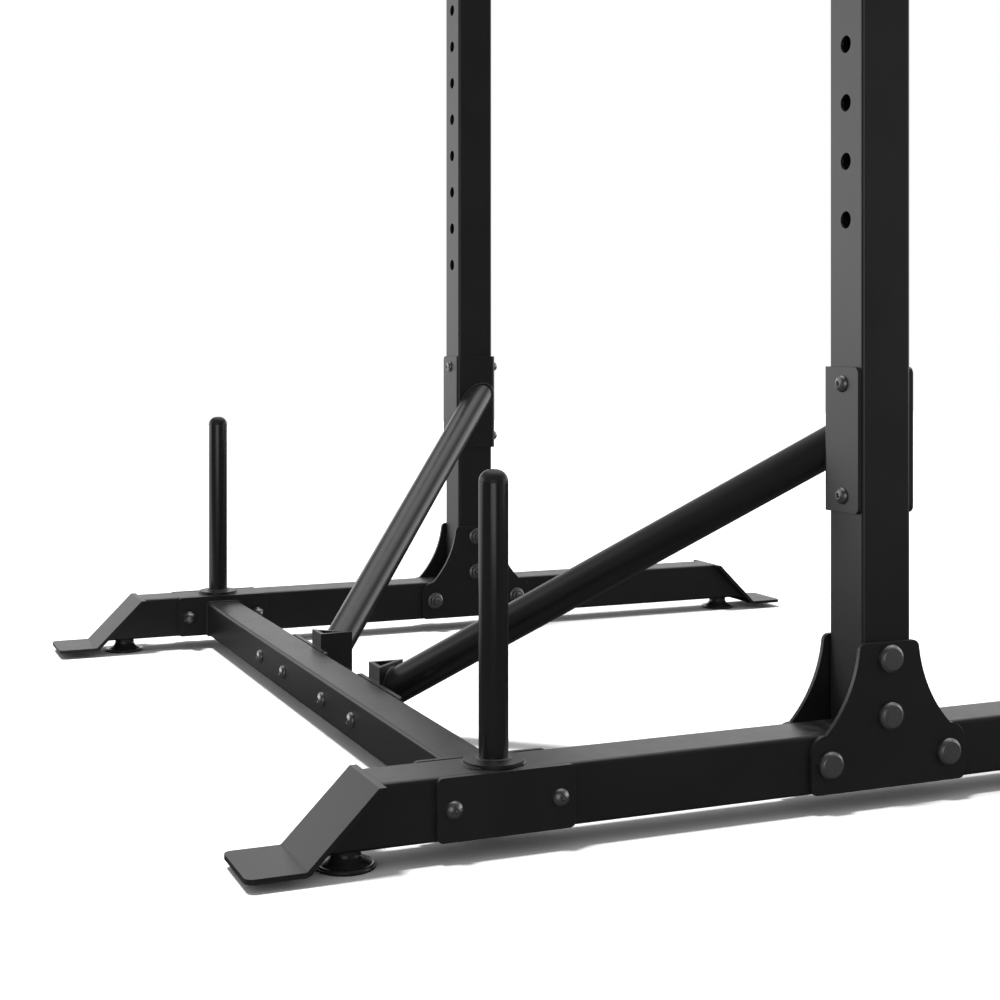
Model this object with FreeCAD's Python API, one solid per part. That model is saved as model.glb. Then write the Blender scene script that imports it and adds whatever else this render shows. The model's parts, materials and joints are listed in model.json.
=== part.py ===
# A pair of squat stands joined by a rear cross beam and two diagonal braces.
#
# Each stand is a square upright that stands on a long base beam between two gusset plates. Bent
# plates close the beam's ends, levelling feet carry it, and a storage pin rises from its rear end.
# A bar cup hangs in one of the upright's holes on the lifter's side and pulls off towards the lifter.
#
# Millimetres, +Z up, floor at z = 0. X runs from the left stand to the right one, -Y is the
# lifter's side, and the origin is on the floor under the middle of the part.

import FreeCAD, Part
import math
import os

# Layout
STAND_SPACING = 1135.0      # from the middle of one upright to the middle of the other
BASE_LENGTH = 1267.0        # from the front tab's tip to the rear tab's tip
PIN_FROM_REAR = 251.0       # storage pins and cross beam, from the rear tabs' tips
UPRIGHT_FROM_PIN = 429.0    # uprights in front of the storage pins
FLOOR_GAP = 21.0            # height of the base beams' undersides
UPRIGHT_LENGTH = 1715.0     # from the base beam's top to the open end of the upright
CUT_OVERRUN = 5.0           # how far a cutter runs past what it cuts

# Square tube of the uprights and the base beams
TUBE = 60.0
TUBE_WALL = 3.0
TUBE_CORNER = 4.0
TUBE_INNER_CORNER = 1.0

# Column of holes through the upright's front and rear walls
HOLE_DIAMETER = 18.0
HOLE_PITCH = 61.2
LOWEST_HOLE = 527.0         # above the base beam's top
HOLE_TOP_MARGIN = 60.0      # least plain tube between the highest hole and the upright's end
CUP_HOLES_FROM_TOP = 6      # the hole that carries the bar cup, counted down from the highest as 1

# Upright's top cap
CAP_THICKNESS = 4.0
CAP_PLUG_DEPTH = 16.0
CAP_PLUG_WALL = 2.5
CAP_GAP = 0.3
CAP_EDGE = 2.0

# Bent plates on the base beam's ends
END_PLATE_WIDTH = 88.0
END_PLATE_THICKNESS = 5.0
END_SLOPE = 45.0            # degrees
TAB_LENGTH = 55.0
TAB_HEIGHT = 14.0           # top of the tab above the floor
TAB_CORNER = 8.0
BEND_RADIUS = 3.0

# Levelling feet
FOOT_INSET = 49.0           # from the end plate's bend inwards to the foot's middle
PAD_DIAMETER = 57.0
PAD_RIM = 3.5
PAD_RIM_ROUND = 1.2
PAD_SHOULDER_DIAMETER = 45.0
PAD_SHOULDER_HEIGHT = 6.0
PAD_FLARE_HEIGHT = 12.0
PAD_FLARE_DEPTH = 3.0
PAD_NECK_DIAMETER = 28.0
STEM_DIAMETER = 12.0
STEM_RISE = 22.0            # above the beam's underside when screwed right in
STEM_CHAMFER = 1.5
STEM_FLANGE_DIAMETER = 21.0
STEM_FLANGE_THICKNESS = 4.0
STEM_FLANGE_HEIGHT = 5.0    # underside above the floor
MOULD_GAP = 0.1             # between a moulding and the metal that it is moulded round
STEM_RUNNING_GAP = 0.05
STEM_WALL_GAP = 0.6
WELD_NUT_FLATS = 18.0
WELD_NUT_HEIGHT = 10.0

# Gusset plates at the foot of each upright
GUSSET_THICKNESS = 5.0
GUSSET_HEIGHT = 90.0        # above the base beam's top
GUSSET_TOP_MARGIN = 7.0     # from the upright's side out to the gusset's top corner
GUSSET_TOP_CORNER = 8.0
GUSSET_WIDTH = 190.0
GUSSET_EAR_RADIUS = 18.2    # from the base beam's top down to the ears
GUSSET_FLARE_DEPTH = 7.6    # how far the flared sides bow inwards
GUSSET_LOWER_CORNER = 7.0
GUSSET_UPRIGHT_BOLTS = (14.0, 73.0)   # above the base beam's top
GUSSET_BOLT_INSET = 21.7    # from the gusset's ends to the bolts through the base beam

# Large bolts through the gussets
LARGE_BOLT_DIAMETER = 12.0
LARGE_HEAD_DIAMETER = 29.0
LARGE_HEAD_HEIGHT = 7.0
LARGE_HEAD_BEVEL = 3.0
LARGE_NUT_FLATS = 19.0
LARGE_NUT_HEIGHT = 10.0
LARGE_NUT_FLANGE_DIAMETER = 26.0
LARGE_NUT_FLANGE_HEIGHT = 2.5
BOLT_PAST_NUT = 3.0

# Smaller bolts with domed nuts, on the brackets, the brace feet and the cross beam's end plates
BOLT_DIAMETER = 10.0
HEAD_DIAMETER = 18.0
HEAD_EDGE = 1.0
HEAD_HEIGHT = 6.0
HEAD_FLAT_DIAMETER = 9.0
HEAD_SOCKET_FLATS = 6.0
HEAD_SOCKET_DEPTH = 3.5
HEAD_BULGE_SHARE = 0.2      # depth of the head's dome as a share of its width
DOME_NUT_DIAMETER = 18.0
DOME_NUT_SEAT = 3.5
DOME_NUT_HEIGHT = 9.5
BOLT_HOLE_GAP = 0.5
THREAD_GAP = 0.1

# Saddle brackets that carry the braces' upper ends
BRACKET_THICKNESS = 4.5
BRACKET_LENGTH = 152.0
BRACKET_MIDDLE = 297.5      # above the base beam's top
BRACKET_REACH = 58.0        # flange length along the upright's face
BRACKET_BEND = 6.0
BRACKET_CORNER = 7.0
BRACKET_BOLT_SPACING = 117.0

# Rear cross beam with its end plates and the backing plates outside the base beams
CROSS_TUBE = 50.0
CROSS_WALL = 3.0
CROSS_CORNER = 4.0
CROSS_INNER_CORNER = 1.0
JOINT_PLATE_THICKNESS = 5.0
JOINT_PLATE_LENGTH = 140.0
JOINT_PLATE_CORNER = 6.0
JOINT_BOLT_SPACING = 108.0

# Diagonal braces and the feet that they stand on at the cross beam
BRACE_DIAMETER = 42.4
BRACE_WALL = 2.6
BRACE_ABOVE_BRACKET_MIDDLE = 3.0
BRACE_FOOT_X = 122.0        # the brace's middle on its foot, from the part's middle
BRACE_FOOT_REACH = 27.0     # the same point, in front of the cross beam
BRACE_FOOT_HEIGHT = 59.0    # the same point, above the floor
FOOT_PLATE_THICKNESS = 5.0
FOOT_PLATE_LENGTH = 152.0
FOOT_PLATE_MIDDLE = 146.5   # from the part's middle
FOOT_PLATE_CORNER = 5.0
SOCKET_WALL = 5.0
SOCKET_HEIGHT = 62.0
SOCKET_INNER_X = 101.0      # where the socket's inner wall meets the foot plate
CUTTER_LENGTH = 90.0        # size of the blocks that cut a brace's ends flat

# Storage pins
PIN_DIAMETER = 28.6
PIN_WALL = 3.0
PIN_RISE = 279.0            # above the base beam's top
PIN_DOME_HEIGHT = 12.0
PIN_PLUG_DEPTH = 18.0
PIN_FLANGE_DIAMETER = 58.0
PIN_FLANGE_THICKNESS = 4.0

# Bar cups
CUP_PLATE = 5.0
CUP_SIDE_GAP = 0.5
CUP_BELOW_HOLE = 62.0       # underside of the cup's shelf below the hole's middle
CUP_ABOVE_HOLE = 34.0
CUP_CHEEK_DEPTH = 42.0
CUP_CHEEK_CORNER = 14.0
CUP_SHELF = 66.0            # from the upright's face to the outside of the lip
CUP_LIP_RISE = 48.0         # from the shelf's underside
CUP_BEND = 7.0
CUP_WIDTH = 60.0
CUP_LIP_CORNER = 10.0
CUP_PIN_DIAMETER = 17.4
CUP_PIN_REACH = 32.0        # past the upright's face
CUP_PIN_CHAMFER = 2.0
LINER_BACK = 8.0
LINER_SHELF = 8.0
LINER_LIP = 7.0
LINER_LIP_OVERHANG = 3.0
LINER_CORNER = 8.0
LINER_SCREW_DIAMETER = 5.0
LINER_SCREW_HEAD_DIAMETER = 9.0
LINER_SCREW_HEAD_HEIGHT = 2.6
LINER_SCREW_SINK = 1.0
LINER_SCREW_HEIGHTS = (-36.0, 20.0)   # from the hole's middle

# Heights and places that follow from the sizes above
BEAM_TOP = FLOOR_GAP + TUBE
BEAM_MIDDLE = FLOOR_GAP + TUBE / 2
STAND_X = STAND_SPACING / 2
PIN_Y = BASE_LENGTH / 2 - PIN_FROM_REAR
UPRIGHT_Y = PIN_Y - UPRIGHT_FROM_PIN
UPRIGHT_TOP = BEAM_TOP + UPRIGHT_LENGTH
FRONT_FACE = UPRIGHT_Y - TUBE / 2
REAR_FACE = UPRIGHT_Y + TUBE / 2
INNER_FACE = STAND_X - TUBE / 2
OUTER_FACE = STAND_X + TUBE / 2
BEND_Y = BASE_LENGTH / 2 - TAB_LENGTH
FOOT_Y = BEND_Y - FOOT_INSET
BRACKET_Z = BEAM_TOP + BRACKET_MIDDLE
CROSS_MIDDLE = FLOOR_GAP + CROSS_TUBE / 2
CROSS_END = INNER_FACE - JOINT_PLATE_THICKNESS
CROSS_FRONT = PIN_Y - CROSS_TUBE / 2
CROSS_REAR = PIN_Y + CROSS_TUBE / 2
PLATE_FRONT = CROSS_FRONT - FOOT_PLATE_THICKNESS
HOLE_COUNT = 1 + int((UPRIGHT_LENGTH - LOWEST_HOLE - HOLE_TOP_MARGIN) / HOLE_PITCH)
HOLE_HEIGHTS = [BEAM_TOP + LOWEST_HOLE + HOLE_PITCH * n for n in range(HOLE_COUNT)]
CUP_Z = HOLE_HEIGHTS[-CUP_HOLES_FROM_TOP]

V = FreeCAD.Vector
ORIGIN = V(0, 0, 0)
AXIS_X, AXIS_Y, AXIS_Z = V(1, 0, 0), V(0, 1, 0), V(0, 0, 1)


def block(xs, ys, zs):
    """A box between pairs of low and high limits."""
    return Part.makeBox(xs[1] - xs[0], ys[1] - ys[0], zs[1] - zs[0], V(xs[0], ys[0], zs[0]))


def rod(radius, start, end):
    return Part.makeCylinder(radius, (end - start).Length, start, end - start)


def edges_along(shape, axis, points):
    """The straight edges that run along an axis through one of the points."""
    chosen, closeness = [], Part.Precision.confusion()
    for edge in shape.Edges:
        if not isinstance(edge.Curve, Part.Line):
            continue
        start = edge.Vertexes[0].Point
        parallel = edge.Curve.Direction.cross(axis).Length < closeness
        if parallel and any((start - p).cross(axis).Length < closeness for p in points):
            chosen.append(edge)
    return chosen


def rounded(shape, radius, axis, points):
    """The shape with its edges along an axis through the points rounded."""
    return shape.makeFillet(radius, edges_along(shape, axis, points))


def face(start, *steps):
    """A closed face. Each step is a point for a line, or a pair (middle, end) for an arc."""
    edges, here = [], start
    for step in steps:
        if isinstance(step, tuple):
            edges.append(Part.Arc(here, step[0], step[1]).toShape())
            here = step[1]
        else:
            edges.append(Part.LineSegment(here, step).toShape())
            here = step
    if not here.isEqual(start, Part.Precision.confusion()):
        edges.append(Part.LineSegment(here, start).toShape())
    return Part.Face(Part.Wire(edges))


def reversed_outline(steps):
    """The steps of an outline in the opposite order, each arc with its other end."""
    ends = [step[1] if isinstance(step, tuple) else step for step in steps]
    backwards = [ends[-1]]
    for step, end in zip(steps[:0:-1], ends[-2::-1]):
        backwards.append((step[0], end) if isinstance(step, tuple) else end)
    return backwards


def prism(points, depth):
    """A straight-sided outline pushed along a vector."""
    return face(*points).extrude(depth)


def quarter(centre, radius, degrees):
    """The middle of a quarter round, at an angle in the plane across X."""
    angle = math.radians(degrees)
    return centre + V(0, radius * math.cos(angle), radius * math.sin(angle))


def arc_middle(start, end, depth, towards):
    """The middle of an arc that bulges by a depth from its chord, towards a point."""
    half = (end - start) / 2
    chord = start + half
    side = towards - chord
    side = side - half * (side.dot(half) / half.dot(half))
    return chord + side.normalize() * depth


def cap_middle(rim, top):
    """The middle of a spherical cap's outline, from its rim to its top on the Z axis."""
    rise = top.z - rim.z
    radius = (rim.x ** 2 + rise ** 2) / (2 * rise)
    angle = math.atan2(rim.x, radius - rise) / 2
    return V(radius * math.sin(angle), 0, top.z - radius + radius * math.cos(angle))


def square_bar(size, corner, length):
    """A square bar along Z from z = 0, with rounded long edges."""
    half = size / 2
    bar = block((-half, half), (-half, half), (0, length))
    return rounded(bar, corner, AXIS_Z, [V(x, y, 0) for x in (-half, half) for y in (-half, half)])


def square_tube(size, wall, corner, inner_corner, length):
    bore = square_bar(size - 2 * wall, inner_corner, length + 2 * CUT_OVERRUN)
    bore.translate(V(0, 0, -CUT_OVERRUN))
    return square_bar(size, corner, length).cut(bore)


def moved(shape, x, y, z):
    copy = shape.copy()
    copy.translate(V(x, y, z))
    return copy


def turned(shape, axis, degrees):
    copy = shape.copy()
    copy.rotate(ORIGIN, axis, degrees)
    return copy


def to_plus_x(shape):
    """Turns a shape made along Z to run along +X."""
    return turned(shape, AXIS_Y, 90)


def to_plus_y(shape):
    """Turns a shape made along Z to run along +Y."""
    return turned(shape, AXIS_X, -90)


def revolved(start, *steps):
    """A solid turned about Z from an outline in the XZ plane."""
    return face(start, *steps).revolve(ORIGIN, AXIS_Z, 360)


def hexagon(flats, height):
    """A hexagonal prism along Z from z = 0."""
    corner = flats / 2 / math.cos(math.radians(30))
    angles = [math.radians(60 * n) for n in range(6)]
    return prism([V(corner * math.cos(a), corner * math.sin(a), 0) for a in angles], V(0, 0, height))


def large_bolt(length):
    """A bolt with a flat bevelled head below z = 0 and its shank up to its length."""
    shank, head, low = LARGE_BOLT_DIAMETER / 2, LARGE_HEAD_DIAMETER / 2, -LARGE_HEAD_HEIGHT
    return revolved(V(0, 0, low), V(head - LARGE_HEAD_BEVEL, 0, low), V(head, 0, low + LARGE_HEAD_BEVEL),
                    V(head, 0, 0), V(shank, 0, 0), V(shank, 0, length), V(0, 0, length))


def button_bolt(grip):
    """A bolt with a domed, socketed head below z = 0, which ends in a nut beyond what it grips."""
    shank, head, flat = BOLT_DIAMETER / 2, HEAD_DIAMETER / 2, HEAD_FLAT_DIAMETER / 2
    low, length = -HEAD_HEIGHT, grip + DOME_NUT_SEAT
    rim = V(head, 0, -HEAD_EDGE)
    dome = arc_middle(V(flat, 0, low), rim, (head - flat) * HEAD_BULGE_SHARE, V(head, 0, low))
    blank = revolved(V(0, 0, low), V(flat, 0, low), (dome, rim), V(head, 0, 0), V(shank, 0, 0),
                     V(shank, 0, length), V(0, 0, length))
    return blank.cut(moved(hexagon(HEAD_SOCKET_FLATS, HEAD_SOCKET_DEPTH), 0, 0, low))


def flange_nut():
    """A hexagonal nut on a round flange, seated at z = 0."""
    nut = hexagon(LARGE_NUT_FLATS, LARGE_NUT_HEIGHT)
    flange = rod(LARGE_NUT_FLANGE_DIAMETER / 2, ORIGIN, V(0, 0, LARGE_NUT_FLANGE_HEIGHT))
    bore = rod(LARGE_BOLT_DIAMETER / 2 + THREAD_GAP, V(0, 0, -CUT_OVERRUN),
               V(0, 0, LARGE_NUT_HEIGHT + CUT_OVERRUN))
    return nut.fuse(flange).cut(bore).removeSplitter()


def dome_nut():
    """A domed nut seated at z = 0, with a blind bore for the bolt's end."""
    rim, top = V(DOME_NUT_DIAMETER / 2, 0, DOME_NUT_SEAT), V(0, 0, DOME_NUT_HEIGHT)
    bore, depth = BOLT_DIAMETER / 2 + THREAD_GAP, DOME_NUT_SEAT + THREAD_GAP
    return revolved(V(bore, 0, 0), V(rim.x, 0, 0), rim, (cap_middle(rim, top), top),
                    V(0, 0, depth), V(bore, 0, depth))


def upright():
    tube = moved(square_tube(TUBE, TUBE_WALL, TUBE_CORNER, TUBE_INNER_CORNER, UPRIGHT_LENGTH),
                 STAND_X, UPRIGHT_Y, BEAM_TOP)
    front, rear = FRONT_FACE - CUT_OVERRUN, REAR_FACE + CUT_OVERRUN
    cutters = [rod(HOLE_DIAMETER / 2, V(STAND_X, front, z), V(STAND_X, rear, z)) for z in HOLE_HEIGHTS]
    cutters += [rod(BOLT_DIAMETER / 2 + BOLT_HOLE_GAP, V(STAND_X, front, z), V(STAND_X, rear, z))
                for z in bracket_bolt_heights()]
    cutters += [large_bolt_hole(UPRIGHT_Y, BEAM_TOP + rise) for rise in GUSSET_UPRIGHT_BOLTS]
    return tube.cut(cutters)


def upright_cap():
    """A plastic cap with a hollow plug that fits in the upright's open end."""
    top = square_bar(TUBE, TUBE_CORNER, CAP_THICKNESS)
    top = top.makeFillet(CAP_EDGE, [e for e in top.Edges if e.BoundBox.ZMin > CAP_THICKNESS / 2])
    plug_size = TUBE - 2 * TUBE_WALL - 2 * CAP_GAP
    plug = square_tube(plug_size, CAP_PLUG_WALL, TUBE_INNER_CORNER, TUBE_INNER_CORNER, CAP_PLUG_DEPTH)
    return moved(top.fuse(moved(plug, 0, 0, -CAP_PLUG_DEPTH)), STAND_X, UPRIGHT_Y, UPRIGHT_TOP)


def end_line(z, inset):
    """Y of the rear end plate's slanted line at a height, moved inwards by a thickness."""
    slope = math.radians(END_SLOPE)
    return BEND_Y + (TAB_HEIGHT - z) / math.tan(slope) - inset / math.sin(slope)


def base_beam():
    """The tube with both ends cut to the slope of their plates, and its bolt, pin and foot holes."""
    tube = to_plus_y(square_tube(TUBE, TUBE_WALL, TUBE_CORNER, TUBE_INNER_CORNER, BASE_LENGTH))
    tube = moved(tube, STAND_X, -BASE_LENGTH / 2, BEAM_MIDDLE)
    low, high = FLOOR_GAP - CUT_OVERRUN, BEAM_TOP + CUT_OVERRUN
    outline = [V(INNER_FACE - CUT_OVERRUN, side * end_line(z, END_PLATE_THICKNESS), z)
               for side, z in ((1, low), (1, high), (-1, high), (-1, low))]
    tube = tube.common(prism(outline, V(TUBE + 2 * CUT_OVERRUN, 0, 0)))
    cutters = [rod(STEM_DIAMETER / 2 + STEM_WALL_GAP, V(STAND_X, y, low), V(STAND_X, y, BEAM_MIDDLE))
               for y in (FOOT_Y, -FOOT_Y)]
    cutters += [large_bolt_hole(y, BEAM_MIDDLE) for y in gusset_base_bolts()]
    cutters += [joint_bolt_hole(y) for y in joint_bolts()]
    return tube.cut(cutters)


def end_plate():
    """The bent plate on the beam's rear end: a slanted stretch and a level tab above the floor."""
    t = END_PLATE_THICKNESS
    inner_bend = BEND_Y - t * math.tan(math.radians(END_SLOPE / 2))
    x = STAND_X - END_PLATE_WIDTH / 2
    tip = BASE_LENGTH / 2
    outline = [V(x, end_line(BEAM_TOP, 0), BEAM_TOP), V(x, BEND_Y, TAB_HEIGHT),
               V(x, tip, TAB_HEIGHT), V(x, tip, TAB_HEIGHT - t), V(x, inner_bend, TAB_HEIGHT - t),
               V(x, end_line(BEAM_TOP, t), BEAM_TOP)]
    plate = prism(outline, V(END_PLATE_WIDTH, 0, 0))
    plate = rounded(plate, BEND_RADIUS, AXIS_X, [V(0, BEND_Y, TAB_HEIGHT)])
    plate = rounded(plate, BEND_RADIUS + t, AXIS_X, [V(0, inner_bend, TAB_HEIGHT - t)])
    return rounded(plate, TAB_CORNER, AXIS_Z, [V(x, tip, 0), V(x + END_PLATE_WIDTH, tip, 0)])


def front_end_plate():
    return end_plate().mirror(ORIGIN, AXIS_Y)


def foot_stem():
    """The foot's threaded stud, with the flange that the pad is moulded round. Made at the origin."""
    shank, flange = STEM_DIAMETER / 2, STEM_FLANGE_DIAMETER / 2
    low, top = STEM_FLANGE_HEIGHT, FLOOR_GAP + STEM_RISE
    return revolved(V(0, 0, low), V(flange, 0, low), V(flange, 0, low + STEM_FLANGE_THICKNESS),
                    V(shank, 0, low + STEM_FLANGE_THICKNESS), V(shank, 0, top - STEM_CHAMFER),
                    V(shank - STEM_CHAMFER, 0, top), V(0, 0, top))


def foot_pad():
    """The foot's moulded pad: a rimmed base that flares up to a neck under the beam."""
    rim, shoulder, neck = PAD_DIAMETER / 2, PAD_SHOULDER_DIAMETER / 2, PAD_NECK_DIAMETER / 2
    middle = V((shoulder + neck - PAD_FLARE_DEPTH) / 2, 0,
               (PAD_SHOULDER_HEIGHT + PAD_FLARE_HEIGHT - PAD_FLARE_DEPTH) / 2)
    body = revolved(ORIGIN, V(rim - PAD_RIM_ROUND, 0, 0), V(rim, 0, PAD_RIM_ROUND), V(rim, 0, PAD_RIM),
                    V(shoulder, 0, PAD_SHOULDER_HEIGHT), (middle, V(neck, 0, PAD_FLARE_HEIGHT)),
                    V(neck, 0, FLOOR_GAP), V(0, 0, FLOOR_GAP))
    shank, flange = STEM_DIAMETER / 2 + MOULD_GAP, STEM_FLANGE_DIAMETER / 2 + MOULD_GAP
    low, high = STEM_FLANGE_HEIGHT - MOULD_GAP, STEM_FLANGE_HEIGHT + STEM_FLANGE_THICKNESS + MOULD_GAP
    top = FLOOR_GAP + CUT_OVERRUN
    cavity = revolved(V(0, 0, low), V(flange, 0, low), V(flange, 0, high), V(shank, 0, high),
                      V(shank, 0, top), V(0, 0, top))
    return body.cut(cavity)


def weld_nut():
    """The nut inside the beam that a foot's stud screws into."""
    base = FLOOR_GAP + TUBE_WALL
    bore = rod(STEM_DIAMETER / 2 + STEM_RUNNING_GAP, ORIGIN, V(0, 0, BEAM_TOP))
    return moved(hexagon(WELD_NUT_FLATS, WELD_NUT_HEIGHT), 0, 0, base).cut(bore)


def gusset_base_bolts():
    reach = GUSSET_WIDTH / 2 - GUSSET_BOLT_INSET
    return [UPRIGHT_Y - reach, UPRIGHT_Y + reach]


def gusset_bolts():
    """Y and Z of the four bolts through a pair of gussets."""
    places = [(UPRIGHT_Y, BEAM_TOP + rise) for rise in GUSSET_UPRIGHT_BOLTS]
    return places + [(y, BEAM_MIDDLE) for y in gusset_base_bolts()]


def large_bolt_hole(y, z):
    reach = TUBE / 2 + GUSSET_THICKNESS + CUT_OVERRUN
    return rod(LARGE_BOLT_DIAMETER / 2 + BOLT_HOLE_GAP, V(STAND_X - reach, y, z), V(STAND_X + reach, y, z))


def gusset(x):
    """A gusset plate whose inner side lies at x: flared sides above rounded ears."""
    top, end = TUBE / 2 + GUSSET_TOP_MARGIN, GUSSET_WIDTH / 2
    crown, low = BEAM_TOP + GUSSET_HEIGHT, FLOOR_GAP
    corner, ear, foot = GUSSET_TOP_CORNER, GUSSET_EAR_RADIUS, GUSSET_LOWER_CORNER

    def at(side, y, z):
        return V(x, UPRIGHT_Y + side * y, z)

    def half(side):
        """One side's outline from the top edge down to the lower edge."""
        lean = 45 if side > 0 else 135
        top_round = quarter(at(side, top - corner, crown - corner), corner, lean)
        flare_start, flare_end = at(side, top, crown - corner), at(side, end - ear, BEAM_TOP)
        flare = arc_middle(flare_start, flare_end, GUSSET_FLARE_DEPTH, at(side, 0, low))
        ear_round = quarter(at(side, end - ear, BEAM_TOP - ear), ear, lean)
        foot_round = quarter(at(side, end - foot, low + foot), foot, -lean)
        return [at(side, top - corner, crown), (top_round, flare_start), (flare, flare_end),
                (ear_round, at(side, end, BEAM_TOP - ear)), at(side, end, low + foot),
                (foot_round, at(side, end - foot, low))]

    plate = face(*half(1), *reversed_outline(half(-1))).extrude(V(GUSSET_THICKNESS, 0, 0))
    return plate.cut([large_bolt_hole(y, z) for y, z in gusset_bolts()])


def gusset_bolt_set():
    """Four bolts with their heads on the outer gusset."""
    grip = TUBE + 2 * GUSSET_THICKNESS
    one = turned(large_bolt(grip + LARGE_NUT_HEIGHT + BOLT_PAST_NUT), AXIS_Y, -90)
    return [moved(one, OUTER_FACE + GUSSET_THICKNESS, y, z) for y, z in gusset_bolts()]


def gusset_nut_set():
    one = turned(flange_nut(), AXIS_Y, -90)
    return [moved(one, INNER_FACE - GUSSET_THICKNESS, y, z) for y, z in gusset_bolts()]


def bracket_bolt_heights():
    return [BRACKET_Z + side * BRACKET_BOLT_SPACING / 2 for side in (-1, 1)]


def saddle_bracket():
    """A folded channel on the upright: its web inside, its flanges on the front and rear faces."""
    t = BRACKET_THICKNESS
    web, reach = INNER_FACE - t, INNER_FACE + BRACKET_REACH
    low, high = BRACKET_Z - BRACKET_LENGTH / 2, BRACKET_Z + BRACKET_LENGTH / 2
    outer = block((web, reach), (FRONT_FACE - t, REAR_FACE + t), (low, high))
    outer = rounded(outer, BRACKET_BEND, AXIS_Z, [V(web, FRONT_FACE - t, 0), V(web, REAR_FACE + t, 0)])
    outer = rounded(outer, BRACKET_CORNER, AXIS_Y, [V(reach, 0, low), V(reach, 0, high)])
    room = block((INNER_FACE, reach + CUT_OVERRUN), (FRONT_FACE, REAR_FACE),
                 (low - CUT_OVERRUN, high + CUT_OVERRUN))
    holes = [rod(BOLT_DIAMETER / 2 + BOLT_HOLE_GAP, V(STAND_X, FRONT_FACE - t - CUT_OVERRUN, z),
                 V(STAND_X, REAR_FACE + t + CUT_OVERRUN, z)) for z in bracket_bolt_heights()]
    return outer.cut([room] + holes)


def bracket_bolt_set():
    """Two bolts with their heads on the rear flange."""
    one = turned(button_bolt(TUBE + 2 * BRACKET_THICKNESS), AXIS_X, 90)
    return [moved(one, STAND_X, REAR_FACE + BRACKET_THICKNESS, z) for z in bracket_bolt_heights()]


def bracket_nut_set():
    one = turned(dome_nut(), AXIS_X, 90)
    return [moved(one, STAND_X, FRONT_FACE - BRACKET_THICKNESS, z) for z in bracket_bolt_heights()]


def cross_beam():
    """The rear beam between the end plates, drilled for the bolts of the brace feet."""
    tube = to_plus_x(square_tube(CROSS_TUBE, CROSS_WALL, CROSS_CORNER, CROSS_INNER_CORNER, 2 * CROSS_END))
    tube = moved(tube, -CROSS_END, PIN_Y, CROSS_MIDDLE)
    return tube.cut([foot_bolt_hole(side * x) for side in (-1, 1) for x in foot_bolts()])


def joint_bolts():
    return [PIN_Y + side * JOINT_BOLT_SPACING / 2 for side in (-1, 1)]


def joint_bolt_hole(y):
    reach = TUBE / 2 + JOINT_PLATE_THICKNESS + CUT_OVERRUN
    return rod(BOLT_DIAMETER / 2 + BOLT_HOLE_GAP, V(STAND_X - reach, y, BEAM_MIDDLE),
               V(STAND_X + reach, y, BEAM_MIDDLE))


def joint_plate(x):
    """A plate beside the base beam whose inner side lies at x, drilled for two bolts."""
    ys = (PIN_Y - JOINT_PLATE_LENGTH / 2, PIN_Y + JOINT_PLATE_LENGTH / 2)
    plate = block((x, x + JOINT_PLATE_THICKNESS), ys, (FLOOR_GAP, BEAM_TOP))
    corners = [V(0, y, z) for y in ys for z in (FLOOR_GAP, BEAM_TOP)]
    plate = rounded(plate, JOINT_PLATE_CORNER, AXIS_X, corners)
    return plate.cut([joint_bolt_hole(y) for y in joint_bolts()])


def joint_bolt_set():
    one = turned(button_bolt(TUBE + 2 * JOINT_PLATE_THICKNESS), AXIS_Y, -90)
    return [moved(one, OUTER_FACE + JOINT_PLATE_THICKNESS, y, BEAM_MIDDLE) for y in joint_bolts()]


def joint_nut_set():
    one = turned(dome_nut(), AXIS_Y, -90)
    return [moved(one, CROSS_END, y, BEAM_MIDDLE) for y in joint_bolts()]


def brace_ends():
    """The brace's axis: its middle on the bracket's web and its middle on the socket's face."""
    upper = V(INNER_FACE - BRACKET_THICKNESS, UPRIGHT_Y, BRACKET_Z + BRACE_ABOVE_BRACKET_MIDDLE)
    lower = V(BRACE_FOOT_X, CROSS_FRONT - BRACE_FOOT_REACH, BRACE_FOOT_HEIGHT)
    return upper, lower


def landing():
    """The level directions across and along the socket's face, square to the brace seen from above."""
    upper, lower = brace_ends()
    out = V(upper.x - lower.x, upper.y - lower.y, 0).normalize()
    return out, V(-out.y, out.x, 0)


def brace():
    """A round tube cut off flat against the bracket's web and the socket's face."""
    upper, lower = brace_ends()
    run = (upper - lower).normalize() * BRACE_DIAMETER
    bar = rod(BRACE_DIAMETER / 2, lower - run, upper + run)
    bore = rod(BRACE_DIAMETER / 2 - BRACE_WALL, lower - run, upper + run)
    out, along = landing()
    high, side = AXIS_Z * CUTTER_LENGTH, along * CUTTER_LENGTH
    corners = [lower - high - side, lower - high + side, lower + high + side, lower + high - side]
    behind_socket = prism(corners, out * -CUTTER_LENGTH)
    past_web = block((upper.x, upper.x + CUTTER_LENGTH), (upper.y - CUTTER_LENGTH, upper.y + CUTTER_LENGTH),
                     (upper.z - CUTTER_LENGTH, upper.z + CUTTER_LENGTH))
    return bar.cut([bore, behind_socket, past_web])


def foot_bolts():
    return [FOOT_PLATE_MIDDLE + side * BRACKET_BOLT_SPACING / 2 for side in (-1, 1)]


def foot_bolt_hole(x):
    return rod(BOLT_DIAMETER / 2 + BOLT_HOLE_GAP, V(x, PLATE_FRONT - CUT_OVERRUN, CROSS_MIDDLE),
               V(x, CROSS_REAR + CUT_OVERRUN, CROSS_MIDDLE))


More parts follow.
